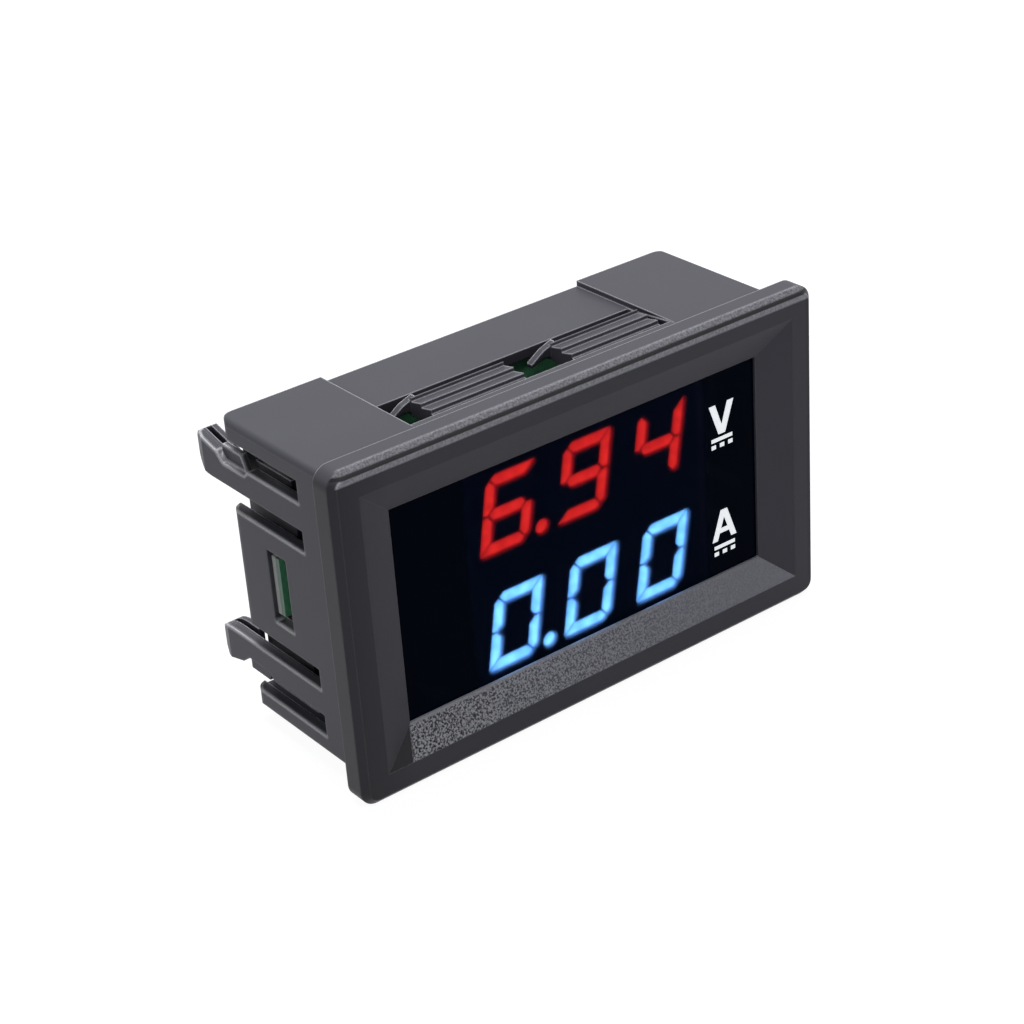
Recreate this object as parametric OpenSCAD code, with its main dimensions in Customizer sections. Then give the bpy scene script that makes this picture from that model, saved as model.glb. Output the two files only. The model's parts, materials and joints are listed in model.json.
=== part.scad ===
// Two-row digital panel meter: a one-piece snap-in housing with a sloping bezel,
// a smoked window, two rows of seven-segment digits and a circuit board open to
// the rear. Lengths in millimetres. The origin is the middle of the opening in
// the panel's front face: X along the width, Y into the panel, Z up.

/* [Bezel] */
// Width of the bezel
bezel_w = 48; // [47.6:0.1:48.6]
// Height of the bezel
bezel_h = 29; // [28.6:0.1:29.6]
// Thickness of the bezel in front of the panel
bezel_t = 2.3; // [2.1:0.1:2.8]
// Radius of the bezel's four outer corners
corner_r = 1.4; // [0.9:0.1:1.8]
// Size of the bevel round the bezel's front edge
edge_c = 0.55; // [0.3:0.05:0.8]
// Width of the front rim, its bevelled edge included
rim_w = 2.4; // [2:0.1:2.7]
// Width of the window opening
window_w = 36.9; // [36.6:0.1:37.3]
// Height of the window opening
window_h = 18.8; // [18.5:0.1:19.2]
// Depth from the bezel's front down to the window
window_recess = 1.45; // [1.2:0.05:1.6]
// Thickness of the smoked window
filter_t = 0.8; // [0.6:0.1:1]
// How far the window reaches under the bezel on each side
filter_lap = 0.8; // [0.6:0.1:1.1]

/* [Body] */
// Width of the body behind the bezel
body_w = 45.4; // [45.1:0.1:45.8]
// Height of the body behind the bezel
body_h = 26.2; // [25.9:0.1:26.6]
// Depth of the body behind the panel face
body_depth = 15; // [14.6:0.1:16]
// Thickness of the top and bottom walls
wall_t = 1.4; // [1.2:0.1:1.6]
// Thickness of the side walls and their sprung fingers
skin_t = 1; // [0.8:0.1:1.2]
// Radius of the upright edges at the rear
rear_r = 1.2; // [0.8:0.1:1.5]
// Depth of the long relief in the top and bottom walls
relief_d = 0.5; // [0.3:0.1:0.6]
// Width of that relief
relief_w = 26.2; // [25.8:0.1:26.8]

/* [Ratchet tabs] */
// Width of each ratchet tab
tab_w = 9.1; // [8.7:0.1:9.4]
// Distance from one tab to the next on a wall
tab_pitch = 13.9; // [13.6:0.1:14.2]
// Distance between the teeth, front to back
tooth_pitch = 1.3; // [1.1:0.1:1.4]
// Height of a tooth
tooth_h = 0.35; // [0.25:0.05:0.45]
// Clear space behind a tab
tab_gap = 0.45; // [0.3:0.05:0.7]

/* [Side fingers] */
// Where the side slots start behind the panel face
slot_y = 4.45; // [4.2:0.05:4.8]
// Height of the wall between the two fingers of a side
panel_h = 10.3; // [9.9:0.1:10.6]
// Height of the slot between that wall and a finger
slot_h = 1.9; // [1.7:0.1:2.1]
// Height of a finger near its root
finger_h = 2.35; // [2.1:0.05:2.5]
// How far a finger reaches behind the body
finger_reach = 4.6; // [4.2:0.1:5.2]
// How far the tip of a finger flares outwards
tip_flare = 0.95; // [0.7:0.05:1.2]

/* [Circuit board] */
// Thickness of the circuit board
board_t = 1; // [0.8:0.1:1.6]
// Distance from the panel face to the front of the board
board_y = 9.1; // [8.9:0.1:9.6]
// Height of the board's side tabs
board_tab_h = 5.2; // [4.8:0.1:5.6]
// Clearance between the board and the housing
board_gap = 0.1; // [0.05:0.05:0.2]

/* [Displays] */
// Height of a digit
digit_h = 6.7; // [6.5:0.1:7.1]
// Width of a digit
digit_w = 4.8; // [4.5:0.1:4.9]
// Distance from one digit to the next
digit_pitch = 7.7; // [7.5:0.1:7.8]
// Width of a lit stroke
stroke_w = 0.95; // [0.8:0.05:1.1]
// Lean of the digits, in degrees
digit_lean = 10; // [6:1:12]
// Height of the middle of the upper row
upper_row_z = 4.7; // [4.65:0.05:5.1]
// Height of the middle of the lower row
lower_row_z = -5.7; // [-6:0.05:-5.65]
// Width of a display block
display_w = 24.2; // [24:0.1:25]
// Height of a display block
display_h = 10.2; // [10:0.05:10.3]

/* [Rear parts] */
// Distance between the supply connector's pins
supply_pitch = 2.5; // [2.3:0.1:2.54]
// Distance between the current connector's pins
current_pitch = 3.96; // [3.8:0.02:4.1]
// Thickness of the current shunt's wire
shunt_d = 1.5; // [1.2:0.1:1.8]
// Distance between the shunt's two legs
shunt_span = 7; // [6.4:0.2:7.6]
// Diameter of an adjuster's rotor
rotor_d = 2.8; // [2.6:0.1:3]
// Width of the screwdriver slots in a rotor
rotor_slot = 0.5; // [0.4:0.05:0.6]
// Running clearance round a rotor
rotor_gap = 0.06; // [0.04:0.01:0.09]

/* [Hidden] */
$fn = 48;
eps = 0.01;
overrun = 5;

// Planes and edges that the pieces share
front_y = -bezel_t;
window_y = front_y + window_recess;
cavity_y = window_y + filter_t;
bezel_lip = 0.25;
side_x = body_w / 2;
top_z = body_h / 2;
inner_x = side_x - skin_t;
inner_z = top_z - wall_t;
long_edge_r = 0.5;
finger_z0 = panel_h / 2 + slot_h;
finger_z1 = finger_z0 + finger_h;
strip_z = finger_z1 + 2;
root_lap = 0.3;
tip_y = body_depth + finger_reach;
tip_z = finger_z1 + tip_flare;
tip_run = 2.4;
tip_turn = 1.1;
tip_bevel = 0.6;
neck_flare = 0.25;
lead_in_d = 0.5;
lead_in_l = 1.4;
neck_y = body_depth + 0.3;
flag_y = body_depth - 2.8;
flag_lap = 0.5;
flag_rise = 0.85;
flag_d = 0.45;
leg_gap = 0.5;
leg_t = 0.5;
prong_l = 2;
prong_w = 0.65;
prong_t = 0.3;
prong_drop = 1.15;
prong_root = 0.5;
rail_gap = 0.75;
rail_t = 0.8;
rail_x1 = inner_x - rail_gap;
rail_x0 = rail_x1 - rail_t;
board_rear = board_y + board_t;
catch_gap = 0.65;
catch_z = board_tab_h / 2 + catch_gap;
catch_depth = 2.65;
stop_l = 3.2;
stop_lap = 0.4;
stop_d = 1.8;
stop_h = 1;
board_tab_inset = 0.35;
tooth_y0 = 3.8;
tooth_count = 3;
tooth_rise = 0.08;
slot_rear = tooth_y0 + tooth_count * tooth_pitch + 0.1 + tab_gap;
tab_x0 = -relief_w / 2 + 2.6;
display_y = cavity_y + 0.05;
display_stand = 0.5;
foot_d = 1.2;
foot_inset = 1;
core_side = 3;
core_rim = 5.2;
core_d = 0.8;
display_x = 0.8;
segment_d = 0.3;
corner_cut = 0.8;
segment_gap = 0.18;
point_d = 1.15;
point_gap = 1.25;
pin_pitch = 2.54;
pin_rows = 7.62;
pin_d = 0.5;
pin_fit = 0.06;
pin_tail = 1.2;
pin_trim = 0.3;

// ---- extrusions along each axis: the 2D shape is (x,z), (y,z) or (x,y) ----
module along_y(y0, y1) {
    translate([0, y1, 0]) rotate([90, 0, 0]) linear_extrude(height = y1 - y0) children();
}
module along_x(x0, x1) {
    translate([x0, 0, 0]) rotate([90, 0, 90]) linear_extrude(height = x1 - x0) children();
}
module along_z(z0, z1) {
    translate([0, 0, z0]) linear_extrude(height = z1 - z0) children();
}
module box(x0, x1, y0, y1, z0, z1) {
    translate([x0, y0, z0]) cube([x1 - x0, y1 - y0, z1 - z0]);
}
module both_ends() {
    children();
    mirror([0, 0, 1]) children();
}
module both_sides() {
    children();
    mirror([1, 0, 0]) children();
}
module round_rect(w, h, r) {
    square([w - 2 * r, h], center = true);
    square([w, h - 2 * r], center = true);
    for (x = [-1, 1], z = [-1, 1])
        translate([x * (w / 2 - r), z * (h / 2 - r)]) circle(r);
}
// a bar from 0 to depth t whose front corners are bevelled
module bevel_front(w, t, c) {
    polygon([[-w / 2, 0], [-w / 2, c - t], [c - w / 2, -t], [w / 2 - c, -t], [w / 2, c - t], [w / 2, 0]]);
}

// ---- bezel ----
module bezel_block() {
    cx = bezel_w / 2 - corner_r;
    cz = bezel_h / 2 - corner_r;
    along_z(-cz, cz) bevel_front(bezel_w, bezel_t, edge_c);
    along_x(-cx, cx) mirror([1, -1]) bevel_front(bezel_h, bezel_t, edge_c);
    for (x = [-1, 1], z = [-1, 1])
        translate([x * cx, 0, z * cz]) rotate([90, 0, 0]) {
            cylinder(r = corner_r, h = bezel_t - edge_c);
            translate([0, 0, bezel_t - edge_c])
                cylinder(r1 = corner_r, r2 = corner_r - edge_c, h = edge_c);
        }
}
// the four sloping faces that run down to the window, mitred at the corners
module bezel_slopes() {
    lip_y = window_y - bezel_lip;
    x0 = bezel_w / 2 - rim_w;
    z0 = bezel_h / 2 - rim_w;
    intersection() {
        along_z(-bezel_h, bezel_h)
            polygon([[-x0, front_y], [x0, front_y], [window_w / 2, lip_y], [-window_w / 2, lip_y]]);
        along_x(-bezel_w, bezel_w)
            polygon([[front_y, -z0], [lip_y, -window_h / 2], [lip_y, window_h / 2], [front_y, z0]]);
    }
    box(-x0, x0, front_y - 1, front_y + eps, -z0, z0);
    box(-window_w / 2, window_w / 2, lip_y - eps, window_y + eps, -window_h / 2, window_h / 2);
}

// ---- body ----
module body_outline() {
    intersection() {
        along_y(-eps, body_depth) round_rect(body_w, body_h, long_edge_r);
        along_z(-body_h, body_h) union() {
            translate([-side_x, -1]) square([body_w, body_depth + 1 - rear_r]);
            translate([-side_x + rear_r, -1]) square([body_w - 2 * rear_r, body_depth + 1]);
            for (x = [-1, 1])
                translate([x * (side_x - rear_r), body_depth - rear_r]) circle(rear_r);
        }
    }
}
// the relief deepens from nothing behind the bezel to its full depth at the teeth
module wall_relief() {
    along_x(-relief_w / 2, relief_w / 2)
        polygon([
            [slot_y - 2, top_z], [slot_rear - 1, top_z - relief_d],
            [body_depth + 1, top_z - relief_d], [body_depth + 1, top_z + 1], [slot_y - 2, top_z + 1]
        ]);
}
module wall_slot() {
    box(-relief_w / 2 + 0.05, relief_w / 2 - 0.1, tooth_y0 - 0.75, slot_rear, inner_z - 1, top_z + 1);
}
// a tab hangs from the slot's front edge and carries three teeth that climb to the rear
function tooth_line(i) = [
    [tooth_y0 + i * tooth_pitch, top_z - tooth_h + i * tooth_rise],
    [tooth_y0 + i * tooth_pitch + tooth_rise, top_z + i * tooth_rise]
];
module tab_profile() {
    rear = tooth_y0 + tooth_count * tooth_pitch;
    polygon(concat(
        [[tooth_y0 - 1, inner_z + 0.2], [tooth_y0 - 1, top_z - tooth_h - 0.05]],
        [for (i = [0:tooth_count - 1], k = [0, 1]) tooth_line(i)[k]],
        [[rear, top_z - relief_d - 0.3], [rear, inner_z + 0.1], [tooth_y0 + 0.6, inner_z - 0.1]]
    ));
}
module ratchet_tab(x) {
    last = tooth_y0 + (tooth_count - 1) * tooth_pitch;
    root_x = x + prong_root;
    tip_x = x - prong_l;
    along_x(x, x + tab_w) tab_profile();
    // the last tooth runs on as a short prong that dips below the wall
    along_y(last + 0.1, last + 0.1 + prong_w)
        polygon([
            [root_x, top_z + 0.1], [(root_x + tip_x) / 2, top_z - tooth_h], [tip_x, top_z - prong_drop],
            [tip_x, top_z - prong_drop - prong_t], [(root_x + tip_x) / 2, top_z - tooth_h - 2 * prong_t],
            [root_x, top_z - prong_drop]
        ]);
}

// ---- side walls ----
module side_opening() {
    // finger slots, open at the rear
    box(inner_x - 1, side_x + 1, slot_y, body_depth + 1, panel_h / 2, strip_z);
}
module board_catch() {
    box(inner_x - 1, side_x + 1, board_rear + board_gap / 2 - catch_depth, board_rear + board_gap / 2,
        -catch_z, catch_z);
}
// quarter of an ellipse from (y, z) that turns up over run a and rise b
function quarter_turn(y, z, a, b, steps) =
    [for (i = [0:steps]) [y + a * sin(90 * i / steps), z + b * (1 - cos(90 * i / steps))]];
// outline of a finger: a bar, a notch behind its neck, and a tip that turns outwards
module finger_outline() {
    polygon(concat(
        [[slot_y - root_lap, finger_z1], [slot_y - root_lap, finger_z0]],
        quarter_turn(tip_y - tip_run, finger_z0, tip_run, tip_turn, 6),
        [
            [tip_y, tip_z - tip_bevel], [tip_y - tip_bevel, tip_z],
            [neck_y + 2 * flag_d, finger_z1 + neck_flare], [neck_y, finger_z1 - flag_lap],
            [flag_y, finger_z1 - flag_lap], [flag_y - flag_lap, finger_z1]
        ]
    ));
}
// thinner flag set back from the outer face, in the notch before the tip
module finger_flag() {
    along_x(inner_x, side_x - flag_d)
        polygon([
            [flag_y - eps, finger_z1 - flag_lap - flag_d],
            [neck_y + flag_d, finger_z1 - flag_lap - flag_d],
            [neck_y + flag_d, finger_z1 + flag_rise], [flag_y + flag_rise, finger_z1 + flag_rise]
        ]);
}
// the tip folds back on itself: an inner leg behind a slit, joined at the very end
module finger_return() {
    leg_x = inner_x - leg_gap;
    along_x(leg_x - leg_t, leg_x) intersection() {
        finger_outline();
        translate([neck_y + flag_d, finger_z0]) square([finger_reach, body_h]);
    }
    along_x(leg_x - eps, inner_x + eps) intersection() {
        finger_outline();
        translate([tip_y - tip_bevel, finger_z0]) square([tip_bevel, body_h]);
    }
}
// slope on the outside of the tip that leads the finger through the cut-out
module finger_lead_in() {
    along_z(0, body_h)
        polygon([
            [rail_x0, 0], [side_x, 0], [side_x, tip_y - lead_in_l],
            [side_x - lead_in_d, tip_y + eps], [rail_x0, tip_y + eps]
        ]);
}
module finger() {
    intersection() {
        union() {
            along_x(inner_x, side_x) finger_outline();
            finger_flag();
            finger_return();
        }
        finger_lead_in();
    }
}
// inner rails guide the board's edges behind the fingers
module upper_rail() {
    box(rail_x0, rail_x1, board_y - 0.9, body_depth - 0.1, catch_z, finger_z1 - 0.1);
    box(rail_x0, rail_x1, body_depth - 1.9, body_depth - 0.1, catch_z, inner_z + eps);
}
module lower_rail() {
    box(rail_x0, rail_x1, board_y - 0.9, body_depth - 0.1, -inner_z - eps, -catch_z);
}
module board_stop() {
    box(rail_x0 - stop_l, rail_x0 + stop_lap, board_y - stop_d, board_y - board_gap / 2,
        inner_z - stop_h, inner_z + eps);
}

module housing() {
    color([0.25, 0.25, 0.28]) {
        difference() {
            union() {
                bezel_block();
                body_outline();
            }
            bezel_slopes();
            // seat of the window
            along_y(window_y, cavity_y + eps)
                round_rect(window_w + 2 * filter_lap, window_h + 2 * filter_lap, 0.6);
            // inside of the body, open at the rear
            box(-inner_x, inner_x, cavity_y, body_depth + 1, -inner_z, inner_z);
            both_ends() {
                wall_relief();
                wall_slot();
            }
            both_sides() {
                both_ends() side_opening();
                board_catch();
            }
        }
        both_ends() {
            ratchet_tab(tab_x0);
            ratchet_tab(tab_x0 + tab_pitch);
        }
        both_sides() {
            both_ends() {
                finger();
                board_stop();
            }
            upper_rail();
            lower_rail();
        }
    }
}

// ---- window ----
module window_filter() {
    color([0.05, 0.05, 0.08, 0.6])
        along_y(window_y, cavity_y)
            round_rect(window_w + 2 * filter_lap - 0.1, window_h + 2 * filter_lap - 0.1, 0.55);
}

// ---- seven-segment displays ----
// leaning outline of a digit with its upper-left and lower-right corners cut
module digit_outline() {
    w = digit_w / 2;
    h = digit_h / 2;
    polygon([
        [-w, h - corner_cut], [-w + corner_cut, h], [w, h], [w, -h + corner_cut],
        [w - corner_cut, -h], [-w, -h]
    ]);
}
// segments in the order top, upper right, lower right, bottom, lower left, upper left, middle
module segment(k) {
    w = digit_w / 2;
    h = digit_h / 2;
    s = stroke_w;
    g = segment_gap / 2;
    intersection() {
        digit_outline();
        if (k == 0) polygon([[-w + g, h], [w - g, h], [w - s - g, h - s], [-w + s + g, h - s]]);
        if (k == 1) polygon([[w, h - g], [w, g], [w - s / 2, g], [w - s, s / 2 + g], [w - s, h - s - g]]);
        if (k == 2) polygon([
            [w, -h + g], [w, -g], [w - s / 2, -g], [w - s, -s / 2 - g], [w - s, -h + s + g]
        ]);
        if (k == 3) polygon([[-w + g, -h], [w - g, -h], [w - s - g, -h + s], [-w + s + g, -h + s]]);
        if (k == 4) polygon([
            [-w, -h + g], [-w, -g], [-w + s / 2, -g], [-w + s, -s / 2 - g], [-w + s, -h + s + g]
        ]);
        if (k == 5) polygon([
            [-w, h - g], [-w, g], [-w + s / 2, g], [-w + s, s / 2 + g], [-w + s, h - s - g]
        ]);
        if (k == 6) polygon([
            [-w + s / 2 + 2 * g, 0], [-w + s + g, s / 2], [w - s - g, s / 2], [w - s / 2 - 2 * g, 0],
            [w - s - g, -s / 2], [-w + s + g, -s / 2]
        ]);
    }
}
module decimal_point() {
    translate([digit_w / 2 + point_gap, -digit_h / 2 + point_d / 2]) circle(point_d / 2);
}
// lean the digit by shearing it about its middle
module lean() {
    multmatrix([
        [1, tan(digit_lean), 0, 0], [0, 1, 0, 0], [0, 0, 1, 0], [0, 0, 0, 1]
    ]) children();
}
// draws the segments of one row whose lit state is as asked; a digit is a list of seven
module row_segments(digits, points, lit) {
    for (i = [0:2])
        translate([display_x + (i - 1) * digit_pitch, 0]) lean() {
            for (k = [0:6])
                if (digits[i][k] == lit) segment(k);
            if (points[i] == lit) decimal_point();
        }
}
zero = [1, 1, 1, 1, 1, 1, 0];
four = [0, 1, 1, 0, 0, 1, 1];
six = [1, 0, 1, 1, 1, 1, 1];
nine = [1, 1, 1, 1, 0, 1, 1];
upper_digits = [six, nine, four];
lower_digits = [zero, zero, zero];
points = [1, 0, 0];

module display_block(z, digits) {
    rear = board_y - display_stand;
    difference() {
        union() {
            along_y(display_y, rear)
                translate([display_x, z]) square([display_w, display_h], center = true);
            // feet that stand the block off the board
            for (x = [-1, 1], k = [-1, 1])
                translate([
                    display_x + x * (display_w / 2 - foot_inset), rear - eps,
                    z + k * (display_h / 2 - foot_inset)
                ])
                    rotate([-90, 0, 0]) cylinder(d = foot_d, h = display_stand + eps);
        }
        along_y(display_y - 1, display_y + segment_d) translate([0, z]) {
            row_segments(digits, points, 1);
            row_segments(digits, points, 0);
        }
        // core of the block, filled with resin but for the last part
        along_y(rear - core_d, rear + eps)
            translate([display_x, z]) square([display_w - core_side, display_h - core_rim], center = true);
    }
}
module row_inlays(z, digits, lit) {
    along_y(display_y, display_y + segment_d) translate([0, z]) row_segments(digits, points, lit);
}
module display_pins(z) {
    rear = board_y - display_stand;
    for (i = [0:5], k = [-1, 1])
        translate([display_x + (i - 2.5) * pin_pitch, rear, z + k * pin_rows / 2])
            rotate([-90, 0, 0]) cylinder(d = pin_d, h = display_stand + board_t + pin_tail, $fn = 24);
}
module voltage_display() { color([0.1, 0.1, 0.11]) display_block(upper_row_z, upper_digits); }
module current_display() { color([0.1, 0.1, 0.11]) display_block(lower_row_z, lower_digits); }
module voltage_digits_lit() { color([1, 0.1, 0.05]) row_inlays(upper_row_z, upper_digits, 1); }
module voltage_digits_unlit() { color([0.2, 0.2, 0.22]) row_inlays(upper_row_z, upper_digits, 0); }
module current_digits_lit() { color([0.3, 0.75, 1]) row_inlays(lower_row_z, lower_digits, 1); }
module current_digits_unlit() { color([0.2, 0.2, 0.22]) row_inlays(lower_row_z, lower_digits, 0); }
module voltage_display_pins() { color("silver") display_pins(upper_row_z); }
module current_display_pins() { color("silver") display_pins(lower_row_z); }

// ---- circuit board ----
supply_x = -13;
supply_z = -6.2;
supply_pin_d = 0.64;
current_x = 13.9;
current_z = -5.6;
current_pin_d = 1.15;
shunt_x = 15.5;
shunt_z = 5.6;
adjust_z = 5.6;
adjust_x = [-16, -10.6];
module board_holes(d) {
    for (z = [upper_row_z, lower_row_z], i = [0:5], k = [-1, 1])
        translate([display_x + (i - 2.5) * pin_pitch, z + k * pin_rows / 2]) circle(d / 2, $fn = 24);
}
module connector_holes(d, n, pitch, x, z) {
    for (i = [0:n - 1])
        translate([x + (i - (n - 1) / 2) * pitch, z]) circle(d / 2, $fn = 24);
}
module shunt_holes(d) {
    for (k = [-1, 1])
        translate([shunt_x, shunt_z + k * shunt_span / 2]) circle(d / 2, $fn = 32);
}
module circuit_board() {
    w = 2 * (rail_x0 - board_gap);
    h = 2 * (inner_z - board_gap);
    color([0.05, 0.35, 0.15])
        along_y(board_y, board_rear) difference() {
            union() {
                square([w, h], center = true);
                // side tabs that snap into the housing's catches
                square([body_w - 2 * board_tab_inset, board_tab_h], center = true);
            }
            board_holes(pin_d + 0.1);
            connector_holes(supply_pin_d + 0.3, 3, supply_pitch, supply_x, supply_z);
            connector_holes(current_pin_d + 0.3, 2, current_pitch, current_x, current_z);
            shunt_holes(shunt_d + 0.1);
        }
}
// a fillet of solder round a leg that comes through the board
module solder_cone(x, z, hole, d, h) {
    translate([x, board_rear, z]) rotate([-90, 0, 0]) difference() {
        cylinder(d1 = d, d2 = hole + 0.15, h = h, $fn = 24);
        translate([0, 0, -1]) cylinder(d = hole, h = h + 2, $fn = 24);
    }
}
pin_joint_d = 1.3;
pin_joint_h = 0.7;
shunt_joint_d = shunt_d + 1.6;
shunt_joint_h = 0.9;
module solder_joints() {
    color([0.8, 0.8, 0.82]) {
        for (z = [upper_row_z, lower_row_z], i = [0:5], k = [-1, 1])
            solder_cone(display_x + (i - 2.5) * pin_pitch, z + k * pin_rows / 2, pin_d + pin_fit,
                pin_joint_d, pin_joint_h);
        for (k = [-1, 1])
            solder_cone(shunt_x, shunt_z + k * shunt_span / 2, shunt_d + pin_fit,
                shunt_joint_d, shunt_joint_h);
    }
}

// ---- chips ----
lead_t = 0.2;
lead_lift = 0.6;
knee = 0.35;
chip_lift = 0.1;
dimple_d = 0.6;
chip_x = display_x;
chip_w = 6.5;
chip_h = 4;
chip_t = 1;
chip_span = 5.6;
chip_leads = 10;
chip_pitch = 0.65;
chip_lead_w = 0.24;
amp_x = -2.6;
amp_w = 4.9;
amp_h = 3.6;
amp_t = 1.4;
amp_span = 5.3;
amp_leads = 4;
amp_pitch = 1.27;
amp_lead_w = 0.42;
reg_x = 5;
reg_z = lower_row_z + 0.4;
reg_w = 4.5;
reg_h = 2.5;
reg_t = 1.5;
reg_pitch = 1.5;
reg_leg_w = 0.44;
reg_leg_l = 1.05;
reg_tab_w = 1.7;
reg_tab_l = 0.75;
module chip_body(x, z, w, h, t) {
    difference() {
        translate([x - w / 2, board_rear + chip_lift, z - h / 2]) cube([w, t, h]);
        // dimple that marks the first lead
        translate([x + w / 2 - dimple_d, board_rear + chip_lift + t - 0.1, z + h / 2 - dimple_d])
            rotate([-90, 0, 0]) cylinder(d = dimple_d, h = t, $fn = 24);
    }
}
// gull-wing leads along both long sides of a chip
module gull_leads(x, z, n, pitch, h, span, lead_w) {
    knee_y = board_rear + lead_lift;
    for (i = [0:n - 1], k = [0, 1])
        translate([x + (i - (n - 1) / 2) * pitch - lead_w / 2, 0, z])
            mirror([0, 0, k]) along_x(0, lead_w)
                polygon([
                    [knee_y, h / 2], [knee_y, h / 2 + knee], [board_rear + lead_t, h / 2 + knee + lead_t],
                    [board_rear + lead_t, span / 2], [board_rear, span / 2], [board_rear, h / 2 + knee],
                    [knee_y - lead_t, h / 2 + lead_t], [knee_y - lead_t, h / 2]
                ]);
}
module controller_chip() {
    color([0.12, 0.12, 0.13]) chip_body(chip_x, upper_row_z, chip_w, chip_h, chip_t);
}
module controller_leads() {
    color("silver")
        gull_leads(chip_x, upper_row_z, chip_leads, chip_pitch, chip_h, chip_span, chip_lead_w);
}
module amplifier_chip() {
    color([0.12, 0.12, 0.13]) chip_body(amp_x, lower_row_z, amp_w, amp_h, amp_t);
}
module amplifier_leads() {
    color("silver") gull_leads(amp_x, lower_row_z, amp_leads, amp_pitch, amp_h, amp_span, amp_lead_w);
}
module regulator() {
    color([0.12, 0.12, 0.13]) chip_body(reg_x, reg_z, reg_w, reg_h, reg_t);
}
module regulator_tabs() {
    color("silver") translate([reg_x, board_rear, reg_z]) {
        for (i = [-1, 0, 1])
            box(i * reg_pitch - reg_leg_w / 2, i * reg_pitch + reg_leg_w / 2, 0, 2 * lead_t,
                -reg_h / 2 - reg_leg_l, -reg_h / 2);
        box(-reg_tab_w / 2, reg_tab_w / 2, 0, 2 * lead_t, reg_h / 2, reg_h / 2 + reg_tab_l);
    }
}
diode_x = -13;
diode_z = 0.2;
diode_w = 4.2;
diode_h = 2.6;
diode_t = 2;
diode_lead_h = 1.5;
diode_foot = 0.8;
module protection_diode() {
    color([0.14, 0.14, 0.15])
        box(diode_x - diode_w / 2, diode_x + diode_w / 2,
            board_rear + lead_t, board_rear + lead_t + diode_t,
            diode_z - diode_h / 2, diode_z + diode_h / 2);
}
module diode_terminals() {
    reach = diode_w / 2 + lead_t;
    color("silver")
        for (k = [0, 1])
            translate([diode_x, board_rear, diode_z]) mirror([k, 0, 0]) {
                box(diode_w / 2, reach, 0, diode_t / 2, -diode_lead_h / 2, diode_lead_h / 2);
                box(reach - diode_foot, reach, 0, lead_t, -diode_lead_h / 2, diode_lead_h / 2);
            }
}
capacitor_x = 9.9;
capacitor_z = 0.1;
capacitor_w = 3.5;
capacitor_h = 2.8;
capacitor_t = 1.8;
capacitor_end = 0.45;
capacitor_inset = 0.3;
module supply_capacitor() {
    color([0.85, 0.6, 0.1])
        translate([capacitor_x, board_rear, capacitor_z]) {
            box(-capacitor_w / 2, capacitor_w / 2, chip_lift, chip_lift + capacitor_t,
                -capacitor_h / 2, capacitor_h / 2);
            // metal ends fold under the body
            for (k = [0, 1])
                mirror([k, 0, 0])
                    box(capacitor_w / 2 - capacitor_end, capacitor_w / 2 + lead_t, 0, capacitor_t / 2,
                        -capacitor_h / 2 + capacitor_inset, capacitor_h / 2 - capacitor_inset);
        }
}
cap_l = 2;
cap_h = 1.25;
cap_t = 1;
cap_spots = [[-7.6, -0.4], [-4.6, -0.5], [1.6, -0.5], [4.6, -0.5], [-18, 0.2]];
module chip_capacitors() {
    color([0.7, 0.55, 0.4])
        for (p = cap_spots)
            translate([p[0], board_rear, p[1]])
                box(-cap_l / 2, cap_l / 2, 0, cap_t, -cap_h / 2, cap_h / 2);
}
res_spots = [
    [-5.2, 5.8], [-5.2, 4.2], [6.2, 5.8], [6.2, 4.2], [9.2, 6.4], [9.2, 4.8], [9.2, 3.2],
    [-6.9, -5], [-6.9, -6.6], [-1.5, -0.5], [-18, -1.9]
];
res_l = 1.6;
res_h = 0.8;
res_t = 0.45;
res_end = 0.3;
module chip_resistors() {
    core = res_l / 2 - res_end;
    color([0.1, 0.1, 0.1])
        for (p = res_spots)
            translate([p[0], board_rear, p[1]]) box(-core, core, 0, res_t, -res_h / 2, res_h / 2);
}
module resistor_terminals() {
    color("silver")
        for (p = res_spots, k = [0, 1])
            translate([p[0], board_rear, p[1]]) mirror([k, 0, 0])
                box(res_l / 2 - res_end, res_l / 2, 0, res_t + 0.02, -res_h / 2 - 0.02, res_h / 2 + 0.02);
}

// ---- adjusters: a block with a turning rotor in its well ----
adjuster_w = 4;
adjuster_t = 1.6;
adjuster_foot = 0.35;
adjuster_foot_w = 0.8;
adjuster_foot_t = 0.6;
adjuster_pitch = 2.2;
rotor_floor = 0.5;
rotor_t = 1.25;
rotor_rest = 0.02;
slot_l = 0.72;
slot_d = 0.6;
module adjuster(x) {
    difference() {
        union() {
            box(x - adjuster_w / 2, x + adjuster_w / 2, board_rear, board_rear + adjuster_t,
                adjust_z - adjuster_w / 2, adjust_z + adjuster_w / 2);
            // two feet below and one above
            for (k = [-1, 1])
                translate([x + k * adjuster_pitch / 2, board_rear, adjust_z])
                    box(-adjuster_foot_w / 2, adjuster_foot_w / 2, 0, adjuster_foot_t,
                        -adjuster_w / 2 - adjuster_foot, 0);
            translate([x, board_rear, adjust_z])
                box(-adjuster_foot_w / 2, adjuster_foot_w / 2, 0, adjuster_foot_t,
                    0, adjuster_w / 2 + adjuster_foot);
        }
        translate([x, board_rear + rotor_floor, adjust_z])
            rotate([-90, 0, 0]) cylinder(d = rotor_d + 2 * rotor_gap, h = adjuster_t);
    }
}
module rotor(x) {
    translate([x, board_rear + rotor_floor + rotor_rest, adjust_z]) rotate([-90, 0, 0])
        difference() {
            cylinder(d = rotor_d, h = rotor_t);
            for (a = [0, 90])
                rotate(a) translate([-rotor_d * slot_l / 2, -rotor_slot / 2, rotor_t - slot_d])
                    cube([rotor_d * slot_l, rotor_slot, 1]);
        }
}
module voltage_adjuster() { color([0.9, 0.9, 0.86]) adjuster(adjust_x[0]); }
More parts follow.
